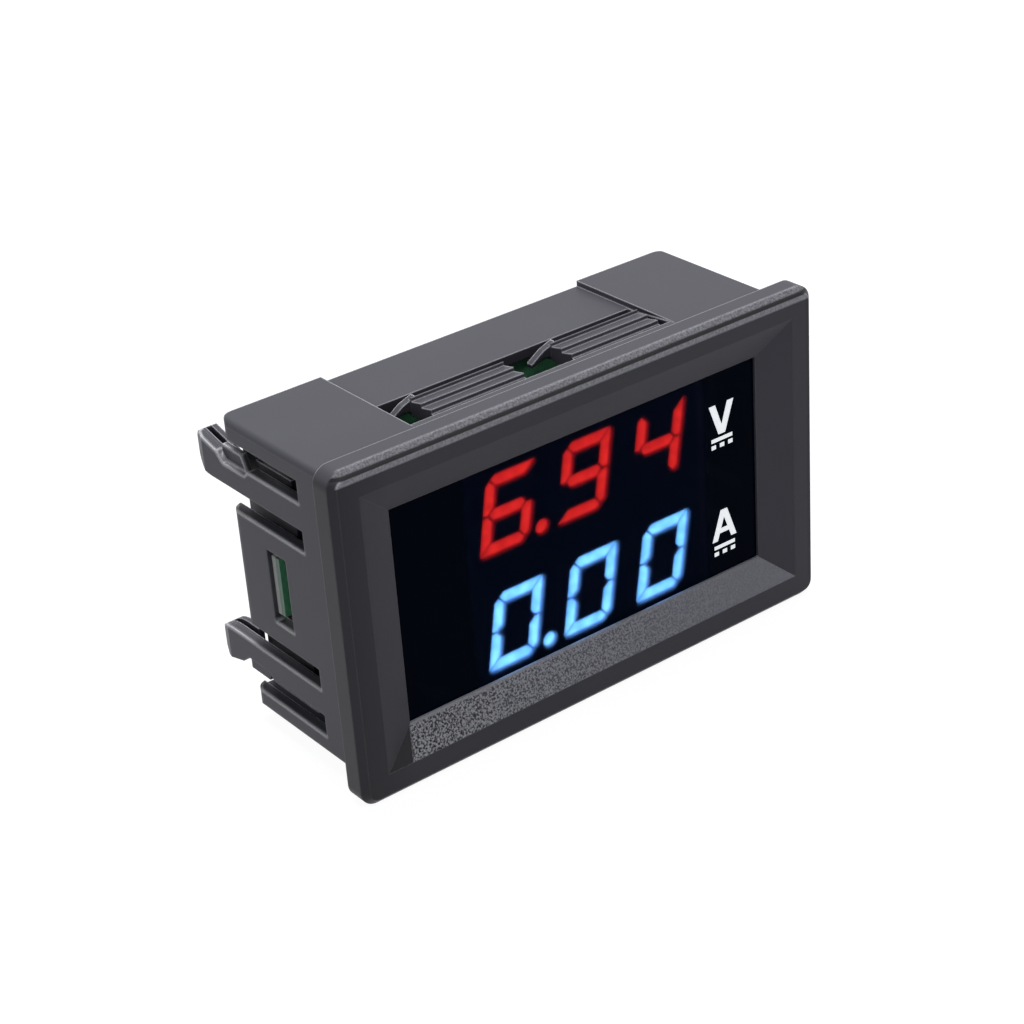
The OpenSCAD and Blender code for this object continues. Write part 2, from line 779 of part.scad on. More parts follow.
module current_adjuster() { color([0.9, 0.9, 0.86]) adjuster(adjust_x[1]); }
module voltage_rotor() { color([0.75, 0.72, 0.6]) rotor(adjust_x[0]); }
module current_rotor() { color([0.75, 0.72, 0.6]) rotor(adjust_x[1]); }

// ---- connectors ----
supply_ends = 4.9;
supply_w = 2 * supply_pitch + supply_ends;
supply_h = 5.75;
supply_tall = 7;
supply_wall = 0.6;
supply_floor = 1.2;
supply_key_w = 1.5;
supply_key_y = 2.4;
supply_pin_inset = 0.9;
module supply_connector() {
    y1 = board_rear + supply_tall;
    color([0.93, 0.92, 0.88])
        difference() {
            box(supply_x - supply_w / 2, supply_x + supply_w / 2, board_rear, y1,
                supply_z - supply_h / 2, supply_z + supply_h / 2);
            // socket for the plug
            box(supply_x - supply_w / 2 + supply_wall, supply_x + supply_w / 2 - supply_wall,
                board_rear + supply_floor, y1 + 1,
                supply_z - supply_h / 2 + supply_wall, supply_z + supply_h / 2 - supply_wall);
            // two keyways in the lower wall
            for (k = [-1, 1])
                translate([supply_x + k * supply_pitch, 0, supply_z])
                    box(-supply_key_w / 2, supply_key_w / 2, board_rear + supply_key_y, y1 + 1,
                        -supply_h, 1 - supply_h / 2);
            along_y(board_rear - 1, board_rear + supply_floor + 1)
                connector_holes(supply_pin_d + pin_fit, 3, supply_pitch, supply_x, supply_z);
        }
}
module supply_pins() {
    color("silver")
        for (i = [-1, 0, 1])
            translate([supply_x + i * supply_pitch, board_y - pin_trim, supply_z])
                rotate([-90, 0, 0])
                    cylinder(d = supply_pin_d, h = board_t + supply_tall - supply_pin_inset, $fn = 24);
}
current_ends = 3.9;
current_w = current_pitch + current_ends;
current_h = 8.2;
current_base = 2.6;
current_tall = 7.6;
current_wall = 1;
current_pin_inset = 0.7;
latch_d = 1.3;
latch_h = 0.7;
latch_slope = 0.5;
module current_connector() {
    z0 = current_z - current_h / 2;
    color([0.93, 0.92, 0.88])
        difference() {
            union() {
                box(current_x - current_w / 2, current_x + current_w / 2, board_rear,
                    board_rear + current_base, z0, z0 + current_h);
                // upright latch wall with a lip along its top
                x1 = current_w / 2 - current_wall;
                y1 = board_rear + current_tall;
                z1 = z0 + current_wall;
                box(current_x - x1, current_x + x1, board_rear, y1, z0, z1);
                along_x(current_x - x1, current_x + x1)
                    polygon([
                        [y1, z1 - latch_h], [y1, z1 + latch_h - latch_slope],
                        [y1 - latch_slope, z1 + latch_h],
                        [y1 - latch_d, z1 + latch_h], [y1 - latch_d - 0.2, z1 - 0.1]
                    ]);
            }
            along_y(board_rear - 1, board_rear + current_base + 1)
                connector_holes(current_pin_d + pin_fit, 2, current_pitch, current_x, current_z);
        }
}
module current_pins() {
    color("silver")
        for (i = [-1, 1])
            translate([current_x + i * current_pitch / 2, board_y - pin_trim, current_z])
                rotate([-90, 0, 0])
                    cylinder(d = current_pin_d, h = board_t + current_tall - current_pin_inset, $fn = 32);
}

// ---- shunt: a bridge of resistance wire for the measured current ----
shunt_leg = 1.6;
module current_shunt() {
    r = shunt_span / 2;
    color([0.72, 0.45, 0.3])
        translate([shunt_x, board_rear, shunt_z]) {
            for (k = [-1, 1])
                translate([0, -board_t - pin_trim, k * r]) rotate([-90, 0, 0])
                    cylinder(d = shunt_d, h = board_t + pin_trim + shunt_leg);
            translate([0, shunt_leg, 0]) intersection() {
                rotate([0, 90, 0]) rotate_extrude($fn = 64)
                    translate([r, 0]) circle(shunt_d / 2, $fn = 32);
                box(-shunt_d, shunt_d, -eps, r + shunt_d, -r - shunt_d, r + shunt_d);
            }
        }
}

housing();
window_filter();
voltage_display();
voltage_digits_lit();
voltage_digits_unlit();
voltage_display_pins();
current_display();
current_digits_lit();
current_digits_unlit();
current_display_pins();
circuit_board();
solder_joints();
controller_chip();
controller_leads();
amplifier_chip();
amplifier_leads();
regulator();
regulator_tabs();
protection_diode();
diode_terminals();
supply_capacitor();
chip_capacitors();
chip_resistors();
resistor_terminals();
voltage_adjuster();
voltage_rotor();
current_adjuster();
current_rotor();
supply_connector();
supply_pins();
current_connector();
current_pins();
current_shunt();
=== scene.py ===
"""Looks of a two-row digital panel meter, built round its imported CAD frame. Lengths are in metres."""
import json
import math

import bmesh
import bpy
from mathutils import Matrix, Vector


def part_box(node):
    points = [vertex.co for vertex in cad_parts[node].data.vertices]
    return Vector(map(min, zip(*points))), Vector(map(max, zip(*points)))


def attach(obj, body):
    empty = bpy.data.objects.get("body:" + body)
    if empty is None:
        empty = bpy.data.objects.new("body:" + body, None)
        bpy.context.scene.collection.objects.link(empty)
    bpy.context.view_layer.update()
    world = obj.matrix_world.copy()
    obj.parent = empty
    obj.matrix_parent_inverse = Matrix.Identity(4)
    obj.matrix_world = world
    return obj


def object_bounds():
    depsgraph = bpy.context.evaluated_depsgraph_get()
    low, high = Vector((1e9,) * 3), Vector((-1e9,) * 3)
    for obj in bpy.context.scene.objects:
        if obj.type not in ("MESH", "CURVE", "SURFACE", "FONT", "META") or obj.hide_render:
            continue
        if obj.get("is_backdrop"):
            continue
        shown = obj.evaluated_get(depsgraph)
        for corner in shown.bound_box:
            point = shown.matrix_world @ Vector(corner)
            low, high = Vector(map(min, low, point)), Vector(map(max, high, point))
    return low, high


MM = 0.001

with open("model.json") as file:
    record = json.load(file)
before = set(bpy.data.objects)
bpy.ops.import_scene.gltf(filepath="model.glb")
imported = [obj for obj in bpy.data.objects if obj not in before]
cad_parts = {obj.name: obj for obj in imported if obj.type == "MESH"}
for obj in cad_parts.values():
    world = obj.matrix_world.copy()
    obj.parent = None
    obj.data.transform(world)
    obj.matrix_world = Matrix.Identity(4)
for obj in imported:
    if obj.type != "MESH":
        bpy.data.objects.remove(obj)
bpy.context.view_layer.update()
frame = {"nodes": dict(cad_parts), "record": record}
METER = "meter"


# ---------------------------------------------------------------- node trees
class Look:
    """One procedural material: a node tree with short calls for its usual parts."""

    def __init__(self, name):
        self.material = bpy.data.materials.new(name)
        self.material.use_nodes = True
        self.nodes = self.material.node_tree.nodes
        self.links = self.material.node_tree.links
        self.nodes.clear()
        self.out = self.nodes.new("ShaderNodeOutputMaterial")
        self.place = self.add("TexCoord").outputs["Object"]

    def add(self, kind, inputs=None, **settings):
        node = self.nodes.new("ShaderNode" + kind)
        for key, value in settings.items():
            setattr(node, key, value)
        for key, value in (inputs or {}).items():
            if isinstance(value, bpy.types.NodeSocket):
                self.links.new(value, node.inputs[key])
            else:
                node.inputs[key].default_value = value
        return node

    def math(self, operation, a, b=0.0):
        return self.add("Math", {0: a, 1: b}, operation=operation).outputs[0]

    def noise(self, size, detail=2.0, rough=0.5, stretch=(1, 1, 1)):
        """Noise from 0 to 1 whose features are about size metres across."""
        vector = self.place
        if stretch != (1, 1, 1):
            vector = self.add("Mapping", {"Vector": vector, "Scale": stretch}).outputs[0]
        inputs = {"Vector": vector, "Scale": 1 / size, "Detail": detail, "Roughness": rough}
        return self.add("TexNoise", inputs).outputs["Fac"]

    def ramp(self, value, low, high, to_low=0.0, to_high=1.0):
        node = self.add("MapRange", {"Value": value, "From Min": low, "From Max": high,
                                     "To Min": to_low, "To Max": to_high})
        return node.outputs["Result"]

    def mix(self, factor, a, b):
        node = self.add("Mix", {"Factor": factor}, data_type="RGBA")
        for socket, value in ((node.inputs[6], a), (node.inputs[7], b)):
            if isinstance(value, bpy.types.NodeSocket):
                self.links.new(value, socket)
            else:
                socket.default_value = (*value, 1)
        return node.outputs[2]

    def axis(self, name, vector=None):
        return self.add("SeparateXYZ", {0: vector or self.place}).outputs[name]

    def soft_normal(self, radius):
        return self.add("Bevel", {"Radius": radius}, samples=6).outputs[0]

    def edges(self, soft, low=0.004, high=0.08):
        """From 0 on flat faces to 1 along edges, where the softened normal leaves the face's own."""
        face = self.add("NewGeometry").outputs["Normal"]
        dot = self.add("VectorMath", {0: soft, 1: face}, operation="DOT_PRODUCT").outputs["Value"]
        return self.ramp(self.math("SUBTRACT", 1.0, dot), low, high)

    def bump(self, height, depth, normal=None):
        inputs = {"Height": height, "Distance": depth, "Strength": 1.0}
        if normal:
            inputs["Normal"] = normal
        return self.add("Bump", inputs).outputs[0]

    def surface(self, **inputs):
        """Ends the tree in a Principled shader; input names are written with _ for spaces."""
        shader = self.add("BsdfPrincipled", {key.replace("_", " "): value for key, value in inputs.items()})
        self.links.new(shader.outputs[0], self.out.inputs["Surface"])
        return self.material


# ---------------------------------------------------------------- materials
def housing_plastic():
    """Charcoal moulded plastic: painted highlights on edges that face up, painted shade at the left end of
    the bezel, coarse grain below the window with painted glints.

    Bands are placed in millimetres from the faces of the housing's box, and y = 0 is the bezel's rear face.
    """
    look = Look("housing_plastic")
    (left, front, bottom), (right, _, top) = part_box("housing")
    soft = look.soft_normal(0.18 * MM)
    edge = look.edges(soft)
    up = look.axis("Z", soft)
    x, y, z = (look.axis(name) for name in "XYZ")
    width = look.math("ABSOLUTE", x)
    patch = look.noise(9 * MM, 3)
    fine = look.noise(0.10 * MM, 3, 0.6)
    grain = look.noise(0.17 * MM, 2, 0.6)
    shadow = (0.030, 0.030, 0.034)

    def both(*masks):
        result = masks[0]
        for mask in masks[1:]:
            result = look.math("MULTIPLY", result, mask)
        return result

    def fade(value, face, start, end, *heights):
        """Ramp between two distances in mm from a face."""
        return look.ramp(value, face + start * MM, face + end * MM, *heights)

    def within(value, face, a, b, c, d):
        """1 from b to c, in mm from a face, falling to 0 at a and d."""
        return both(fade(value, face, a, b), fade(value, face, d, c))

    base = look.mix(patch, (0.093, 0.092, 0.112), (0.113, 0.112, 0.136))
    # painted shade: the bezel darkens towards its left end and at the upright edges of its front
    bezel = fade(y, 0, 0.1, -0.05)
    not_top = look.ramp(up, 0.6, 0.3)
    shade = both(bezel, not_top, fade(x, left, 5.2, 0.4, 0.0, 0.58))
    upright = both(within(width, right, -1.0, -0.7, 0.2, 0.4), within(y, front, -0.3, -0.2, 0.5, 0.7),
                   not_top, look.ramp(edge, 0, 1, 0.40, 0.55))
    shade = look.math("MAXIMUM", shade, upright)
    base = look.mix(shade, base, (0.012, 0.012, 0.014))
    # painted highlight on edges that face up, only a little on the others
    edge_highlight = both(edge, look.ramp(up, 0.15, 0.55, 0.12, 0.95))
    # along the bezel's top the painted highlight is speckled, on both sides of the bevel and not at the rear
    # edge
    rim = both(fade(z, top, -1.3, -1.0), fade(y, 0, 0.05, -0.2))
    flat_top = both(within(y, front, 0.40, 0.56, 0.68, 0.90), look.ramp(up, 0.8, 0.9), fade(z, top, -0.1, 0))
    brow = both(within(z, top, -1.16, -1.04, -0.66, -0.58), fade(y, front, 0.15, 0.05))
    upper = both(within(z, top, -0.38, -0.28, 0, 0.1), fade(y, front, 0.60, 0.54))
    speckle = look.ramp(grain, 0.38, 0.62, 0.35, 1.0)
    bright = look.math("MAXIMUM", look.math("MULTIPLY", look.math("MAXIMUM", flat_top, upper), 0.40), brow)
    bright = both(bright, speckle)
    bright = look.math("MAXIMUM", bright, both(brow, look.ramp(grain, 0.38, 0.62, 0.65, 1.0)))
    bevel = both(fade(y, front, 0.56, 0.50), within(z, top, -0.62, -0.54, -0.38, -0.26))
    edge_highlight = look.mix(rim, edge_highlight, bright)
    # painted highlight on the lips of the side slots, spread widely where they face up
    wide = look.soft_normal(0.45 * MM)
    height = look.math("ABSOLUTE", z)
    lip = both(look.edges(wide, 0.001, 0.018), look.ramp(look.axis("Z", wide), 0.01, 0.07),
               fade(width, right, -2.1, -1.9), fade(y, 0, 0.3, 0.6), fade(height, top, -1.9, -2.2))
    # painted shade: a dark band on the bevel between the two highlighted lines
    base = look.mix(both(rim, bevel), base, shadow)
    base = look.mix(edge_highlight, base, (0.88, 0.88, 0.94))
    base = look.mix(lip, base, (0.95, 0.95, 0.98))
    # the lower slope: coarse grain, pale partly as painted light where it faces up, its hollows in painted
    # shade and its white flecks painted glints; coarse at its left end, plain at its right, and darker where
    # it is not grained
    facing = look.axis("Z", look.add("NewGeometry").outputs["Normal"])
    inward = fade(y, front, 1.7, 1.5)
    slope = both(fade(z, bottom, 5.5, 4.9), inward, look.ramp(facing, 0.2, 0.35))
    across = look.math("SUBTRACT", x, look.math("MULTIPLY", z, 0.28))
    grained = both(slope, fade(across, left, 8.05, 8.25))
    coarse = look.ramp(x, right - 8 * MM, left + 5 * MM, 0.08, 1.0)
    glint_fleck = both(look.ramp(grain, 0.48, 0.58), grained, coarse)
    hollow = both(look.ramp(grain, 0.50, 0.41), grained, coarse)
    base = look.mix(look.math("MULTIPLY", slope, 0.9), base, (0.055, 0.055, 0.062))
    base = look.mix(look.math("MULTIPLY", grained, 0.95), base, (0.50, 0.50, 0.57))
    base = look.mix(hollow, base, shadow)
    base = look.mix(glint_fleck, base, (0.98, 0.98, 1.0))
    # painted highlight along its upper edge, beside the window
    brim = both(within(z, bottom, 4.88, 4.95, 5.1, 5.2), fade(width, right, -5.5, -5.6), inward)
    brim_share = look.ramp(x, right - 6 * MM, left + 6 * MM, 0.1, 0.9)
    base = look.mix(both(brim, brim_share), base, (0.75, 0.75, 0.82))
    rough = look.ramp(fine, 0.3, 0.7, 0.40, 0.55)
    coarse_relief = both(grain, look.math("MULTIPLY", grained, 5.0))
    relief = look.math("ADD", look.math("MULTIPLY", fine, 0.35), coarse_relief)
    normal = look.bump(relief, 0.016 * MM, soft)
    return look.surface(Base_Color=base, Roughness=rough, Normal=normal, IOR=1.5, Specular_IOR_Level=0.2)


def smoked_window():
    """Dark acrylic, clear enough for lit digits, hazy enough to spread their light, black beside them."""
    look = Look("smoked_window")
    smear = look.noise(4 * MM, 4, 0.6)
    normal = look.bump(look.noise(1.5 * MM, 2), 0.002 * MM)
    (left, _, _), (right, _, _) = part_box("voltage_display")
    x = look.axis("X")
    fade = 0.4 * MM
    masked = look.math("MAXIMUM", look.ramp(x, left, left - fade), look.ramp(x, right, right + fade))
    black = (0.002, 0.002, 0.003)
    clear = look.add("BsdfPrincipled", {
        "Base Color": look.mix(masked, (0.10, 0.10, 0.12), black),
        "Roughness": look.ramp(smear, 0.3, 0.8, 0.04, 0.10),
        "IOR": 1.08, "Transmission Weight": 1.0, "Specular IOR Level": 0.04, "Normal": normal}).outputs[0]
    haze = look.add("BsdfRefraction", {
        "Color": look.mix(masked, (0.31, 0.25, 0.46), black),
        "Roughness": 0.72, "IOR": 1.45, "Normal": normal}).outputs[0]
    # light that the tinted acrylic itself sends back, faint and blue
    tint = look.add("BsdfPrincipled", {
        "Base Color": look.mix(smear, (0.002, 0.040, 0.17), (0.005, 0.060, 0.25)), "Roughness": 0.6,
        "Specular IOR Level": 0.0}).outputs[0]
    mixed = look.add("MixShader", {0: 0.52, 1: clear, 2: haze}).outputs[0]
    mixed = look.add("MixShader", {0: 0.08, 1: mixed, 2: tint})
    look.links.new(mixed.outputs[0], look.out.inputs["Surface"])
    return look.material


def lit(name, rim, core, strength):
    """A glowing segment: light core that falls to a deeper colour at its rim and in patches."""
    look = Look(name)
    rim_share = look.edges(look.soft_normal(0.30 * MM), 0.0, 0.25)
    patch = look.ramp(look.noise(0.9 * MM, 2), 0.35, 0.65, 0.0, 0.45)
    colour = look.mix(look.math("MAXIMUM", rim_share, patch), core, rim)
    return look.surface(Base_Color=(0.02, 0.02, 0.02, 1), Roughness=0.4,
                        Emission_Color=colour, Emission_Strength=strength)


def plain_plastic(name, dark, light, rough, grain=0.2, depth=0.006, soften=0.1, **extra):
    """Moulded plastic or ceramic with slow colour change and fine grain."""
    look = Look(name)
    soft = look.soft_normal(soften * MM)
    fine = look.noise(grain * MM, 3, 0.6)
    base = look.mix(look.noise(3 * MM, 3), dark, light)
    worn = [min(1, 1.6 * c + 0.02) for c in light]
    base = look.mix(look.math("MULTIPLY", look.edges(soft), 0.25), base, worn)
    return look.surface(Base_Color=base, Roughness=look.ramp(fine, 0.3, 0.7, rough - 0.06, rough + 0.08),
                        Normal=look.bump(fine, depth * MM, soft), **extra)


def metal(name, dark, light, rough, stretch=(1, 1, 1), soften=0.06):
    """Tinned or drawn metal with dull patches."""
    look = Look(name)
    soft = look.soft_normal(soften * MM)
    dull = look.noise(0.6 * MM, 4, 0.65, stretch)
    base = look.mix(look.ramp(dull, 0.3, 0.7), dark, light)
    return look.surface(Base_Color=base, Metallic=1.0, Normal=look.bump(dull, 0.004 * MM, soft),
                        Roughness=look.ramp(dull, 0.3, 0.7, rough + 0.15, rough))


def green_board():
    """Solder mask over glass cloth on the faces, pale cut laminate on the edges."""
    look = Look("green_board")
    normal_y = look.axis("Y", look.add("NewGeometry").outputs["Normal"])
    face = look.ramp(look.math("ABSOLUTE", normal_y), 0.4, 0.6)
    weave = look.add("TexChecker", {"Vector": look.place, "Scale": 1 / (0.5 * MM)}).outputs["Fac"]
    cloud = look.noise(1.2 * MM, 3)
    cloth = look.math("ADD", look.math("MULTIPLY", weave, 0.25), look.math("MULTIPLY", cloud, 0.75))
    mask = look.mix(cloth, (0.008, 0.160, 0.050), (0.026, 0.310, 0.100))
    # painted light: the front face, in shade inside the housing, gets a lighter green than the rear
    front_painted_light = look.mix(cloth, (0.16, 0.70, 0.34), (0.32, 0.92, 0.50))
    mask = look.mix(look.ramp(normal_y, -0.4, -0.6), mask, front_painted_light)
    # the cut edge is pale where the saw left it, green-grey towards the front
    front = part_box("circuit_board")[0][1]
    pale = look.ramp(look.axis("Y"), front + 0.40 * MM, front + 0.62 * MM)
    cut = look.mix(pale, (0.16, 0.30, 0.24), (0.90, 0.92, 0.88))
    fibre = look.noise(0.3 * MM, 3, 0.6, (1, 4, 1))
    cut = look.mix(look.math("MULTIPLY", fibre, 0.5), cut, (0.35, 0.42, 0.36))
    return look.surface(Base_Color=look.mix(face, cut, mask), Roughness=look.ramp(face, 0, 1, 0.75, 0.28),
                        Normal=look.bump(cloth, 0.004 * MM), Coat_Weight=0.3, Coat_Roughness=0.15)


def display_resin():
    """Glossy black display case with a slightly hazy face."""
    look = Look("display_resin")
    soft = look.soft_normal(0.12 * MM)
    haze = look.noise(2.5 * MM, 4, 0.6)
    base = look.mix(haze, (0.0030, 0.0030, 0.0045), (0.006, 0.006, 0.009))
    return look.surface(Base_Color=base, Roughness=look.ramp(haze, 0.3, 0.7, 0.50, 0.60),
                        Specular_IOR_Level=0.25, Normal=look.bump(haze, 0.003 * MM, soft))


def white_print():
    """Screen-printed ink, a little uneven, given a faint glow of painted light."""
    look = Look("white_print")
    patch = look.noise(0.4 * MM, 4, 0.65)
    base = look.mix(look.ramp(patch, 0.3, 0.7), (0.80, 0.80, 0.80), (0.95, 0.95, 0.94))
    return look.surface(Base_Color=base, Roughness=look.ramp(patch, 0.3, 0.7, 0.65, 0.5),
                        Normal=look.bump(patch, 0.003 * MM),
                        Emission_Color=(0.92, 0.96, 1.0, 1), Emission_Strength=0.7)


LOOKS = {
    "housing_plastic": housing_plastic(),
    "smoked_window": smoked_window(),
    "display_resin": display_resin(),
    "red_light": lit("red_light", (0.40, 0.004, 0.003), (1.0, 0.032, 0.012), 11.5),
    "blue_light": lit("blue_light", (0.010, 0.15, 0.60), (0.27, 1.0, 1.0), 18.0),
    "unlit_segment": plain_plastic("unlit_segment", (0.020, 0.021, 0.026), (0.030, 0.030, 0.036), 0.35,
                                   soften=0.03),
    "green_board": green_board(),
    "solder": metal("solder", (0.42, 0.43, 0.45), (0.74, 0.75, 0.77), 0.18, soften=0.2),
    "tinned_metal": metal("tinned_metal", (0.50, 0.51, 0.53), (0.76, 0.77, 0.79), 0.22),
    "chip_black": plain_plastic("chip_black", (0.012, 0.012, 0.013), (0.024, 0.024, 0.026), 0.55, 0.12, 0.01),
    "capacitor_yellow": plain_plastic("capacitor_yellow", (0.66, 0.34, 0.03), (0.82, 0.50, 0.06), 0.45),
    "ceramic_tan": plain_plastic("ceramic_tan", (0.30, 0.18, 0.10), (0.46, 0.31, 0.20), 0.5),
    "ivory_plastic": plain_plastic("ivory_plastic", (0.66, 0.64, 0.57), (0.80, 0.78, 0.71), 0.42, 0.3, 0.008),
    "rotor_metal": metal("rotor_metal", (0.46, 0.42, 0.30), (0.72, 0.68, 0.54), 0.25),
    "resistance_wire": metal("resistance_wire", (0.36, 0.19, 0.11), (0.62, 0.38, 0.24), 0.26, (1, 0.2, 1)),
    "white_print": white_print(),
    "board_ink": plain_plastic("board_ink", (0.62, 0.64, 0.62), (0.80, 0.81, 0.79), 0.6),
    "board_track": plain_plastic("board_track", (0.020, 0.290, 0.085), (0.040, 0.400, 0.130), 0.3,
                                 Coat_Weight=0.3),
}
record = frame["record"]
slot_of = {part["node"]: part["material_slot"] for part in record["subparts"]}
for name, thing in frame["nodes"].items():
    thing.data.materials.clear()
    thing.data.materials.append(LOOKS[slot_of[name]])


# ---------------------------------------------------------------- flat marks
def flat_piece(name, outlines, y_rear, y_front, look):
    """Closed plates, one per (x, z) outline, between two planes across Y.

    Each is a hair thicker than the last, so that crossing plates don't share a plane.
    """
    mesh = bpy.data.meshes.new(name)
    bm = bmesh.new()
    for i, outline in enumerate(outlines):
        face = bm.faces.new([bm.verts.new((x, y_rear, z)) for x, z in outline])
        side = bmesh.ops.extrude_face_region(bm, geom=[face])["geom"]
        moved = [v for v in side if isinstance(v, bmesh.types.BMVert)]
        bmesh.ops.translate(bm, verts=moved, vec=(0, (y_front - y_rear) * (1 + 0.02 * i), 0))
    bmesh.ops.recalc_face_normals(bm, faces=bm.faces)
    bm.to_mesh(mesh)
    bm.free()
    mesh.materials.append(LOOKS[look])
    piece = bpy.data.objects.new(name, mesh)
    bpy.context.scene.collection.objects.link(piece)
    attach(piece, METER)


def stroke(a, b, width):
    """A straight stroke from a to b, as an outline."""
    a, b = Vector(a), Vector(b)
    side = Vector((a.y - b.y, b.x - a.x)).normalized() * width / 2
    return [a + side, b + side, b - side, a - side]


def disc(x, z, radius):
    turns = [i * math.pi / 8 for i in range(16)]
    return [(x + radius * math.cos(turn), z + radius * math.sin(turn)) for turn in turns]


def middle(name):
    """X and Z of the middle of a node."""
    low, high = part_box(name)
    return (low[0] + high[0]) / 2, (low[2] + high[2]) / 2


def unit_marks():
    """V and A with the direct-current sign under each, printed on the window."""
    x = middle("window_filter")[0] + 14.85 * MM
    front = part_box("window_filter")[0][1]
    v, a = (middle(row + "_display")[1] for row in ("voltage", "current"))
    shapes = []

    def put(z, points):
        shapes.append([(x + across * MM, z + up * MM) for across, up in points])

    put(v, [(-1.35, 1.7), (-0.66, 1.7), (0, -0.25), (0.66, 1.7), (1.35, 1.7), (0.36, -1.05), (-0.36, -1.05)])
    put(a, [(-1.35, -0.55), (-0.76, -0.55), (0, 1.55), (0.76, -0.55), (1.35, -0.55), (0.36, 2.25),
            (-0.36, 2.25)])
    put(a, [(-0.75, 0.1), (0.75, 0.1), (0.6, 0.55), (-0.6, 0.55)])
    for line in (v - 1.5 * MM, a - 1.15 * MM):
        put(line, stroke((-1.15, 0), (1.15, 0), 0.33))
        for i in (-1, 0, 1):
            put(line, stroke((0.92 * i - 0.24, -0.6), (0.92 * i + 0.24, -0.6), 0.36))
    flat_piece("unit_marks", shapes, front, front - 0.02 * MM, "white_print")


def board_ink(rear):
    """Ink outlines round the larger parts, with dots for first leads, a bar and a plus for polarity."""
    gap, line = 0.3 * MM, 0.15 * MM
    ink = []
    for name in ("controller_chip", "amplifier_chip", "regulator", "protection_diode", "supply_capacitor",
                 "voltage_adjuster", "current_adjuster", "supply_connector", "current_connector"):
        (x0, _, z0), (x1, _, z1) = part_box(name)
        x0, x1, z0, z1 = x0 - gap, x1 + gap, z0 - gap, z1 + gap
        for z in (z0, z1):
            ink.append(stroke((x0 - line / 2, z), (x1 + line / 2, z), line))
        for x in (x0, x1):
            ink.append(stroke((x, z0), (x, z1), line))
        if name.endswith("chip"):
            ink.append(disc(x1 + 0.5 * MM, z1 - 0.3 * MM, 0.22 * MM))
        if name == "protection_diode":
            ink.append(stroke((x0 - 0.3 * MM, z0), (x0 - 0.3 * MM, z1), 0.25 * MM))
        if name == "supply_capacitor":
            x, z, arm = x1 + 0.6 * MM, z1 - 0.4 * MM, 0.35 * MM
            ink.append(stroke((x - arm, z), (x + arm, z), line))
            ink.append(stroke((x, z - arm), (x, z + arm), line))
    flat_piece("board_ink", ink, rear, rear + 0.02 * MM, "board_ink")


def lead_rows(name, count, radius):
    """X of the leads along a node's two rows, and Z of its lower and upper row."""
    (x0, _, z0), (x1, _, z1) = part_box(name)
    step = (x1 - x0 - 2 * radius) / (count - 1)
    return [x0 + radius + i * step for i in range(count)], z0 + radius, z1 - radius


def board_tracks(rear):
    """Tracks under the solder mask, and the plated vias at their ends."""
    upper, upper_low, upper_high = lead_rows("voltage_display_pins", 6, 0.25 * MM)
    lower, lower_low, lower_high = lead_rows("current_display_pins", 6, 0.25 * MM)
    chip, chip_low, chip_high = lead_rows("controller_leads", 10, 0.12 * MM)
    amp, amp_low, amp_high = lead_rows("amplifier_leads", 4, 0.21 * MM)
    thin, via = 0.24 * MM, 0.28 * MM
    tracks, vias = [], []
    for starts, start_z, ends, end_z in (
            (upper, upper_high, chip[2:8], chip_high), (upper, upper_low, chip[2:8], chip_low),
            (upper, upper_low, lower, lower_high), (lower[:4], lower_low, amp, amp_low),
            (lower[:4], lower_high, amp, amp_high)):
        tracks += [stroke((a, start_z), (b, end_z), thin) for a, b in zip(starts, ends)]

    # the current's path: shunt to connector, one track straight down and one round the corner
    (_, _, shunt_low), (_, _, shunt_high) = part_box("current_shunt")
    (pin_left, _, _), (pin_right, _, _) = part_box("current_pins")
    shunt, pins = middle("current_shunt")[0], middle("current_pins")[1]
    leg, half = 0.8 * MM, 0.75 * MM
    tracks.append(stroke((shunt, shunt_low + leg), (pin_right - 0.6 * MM, pins), 2.4 * MM))
    pin, top = pin_left + 0.55 * MM, shunt_high - leg
    tracks.append([(shunt, top + half), (pin - half, top - 1.0 * MM), (pin - half, pins), (pin + half, pins),
                   (pin + half, top - 2.0 * MM), (shunt, top - half)])

    # the supply's three tracks and one for each adjuster, up to a via
    (x0, _, _), (x1, _, _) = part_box("supply_pins")
    supply_x, supply_z = middle("supply_pins")
    stubs = [(x, supply_z, 4.6 * MM, 0.5 * MM) for x in (x0 + 0.3 * MM, supply_x, x1 - 0.3 * MM)]
    for name in ("voltage_adjuster", "current_adjuster"):
        stubs.append((middle(name)[0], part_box(name)[1][2], 1.0 * MM, thin))
    for x, z, reach, width in stubs:
        tracks.append(stroke((x, z), (x, z + reach), width))
        vias.append(disc(x, z + reach, via))

    row, row_left, row_right = upper_high + 1.1 * MM, upper[0] - 3 * MM, upper[-1] + 2 * MM
    tracks.append(stroke((row_left, row), (row_right, row), thin))
    (_, _, adjuster_low), (adjuster_right, _, _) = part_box("current_adjuster")
    vias += [disc(row_left, row, via), disc(row_right, row, via)]
    vias += [disc(lower[5] + 0.9 * MM, lower_low + i * 0.9 * MM, via) for i in (1, 2)]
    vias += [disc(adjuster_right + 1.5 * MM, adjuster_low + i * 1.1 * MM, via) for i in (0, 1, 2)]
    flat_piece("board_tracks", tracks, rear, rear + 0.012 * MM, "board_track")
    flat_piece("board_vias", vias, rear, rear + 0.03 * MM, "solder")


unit_marks()
board_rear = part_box("circuit_board")[1][1]
board_ink(board_rear)
board_tracks(board_rear)


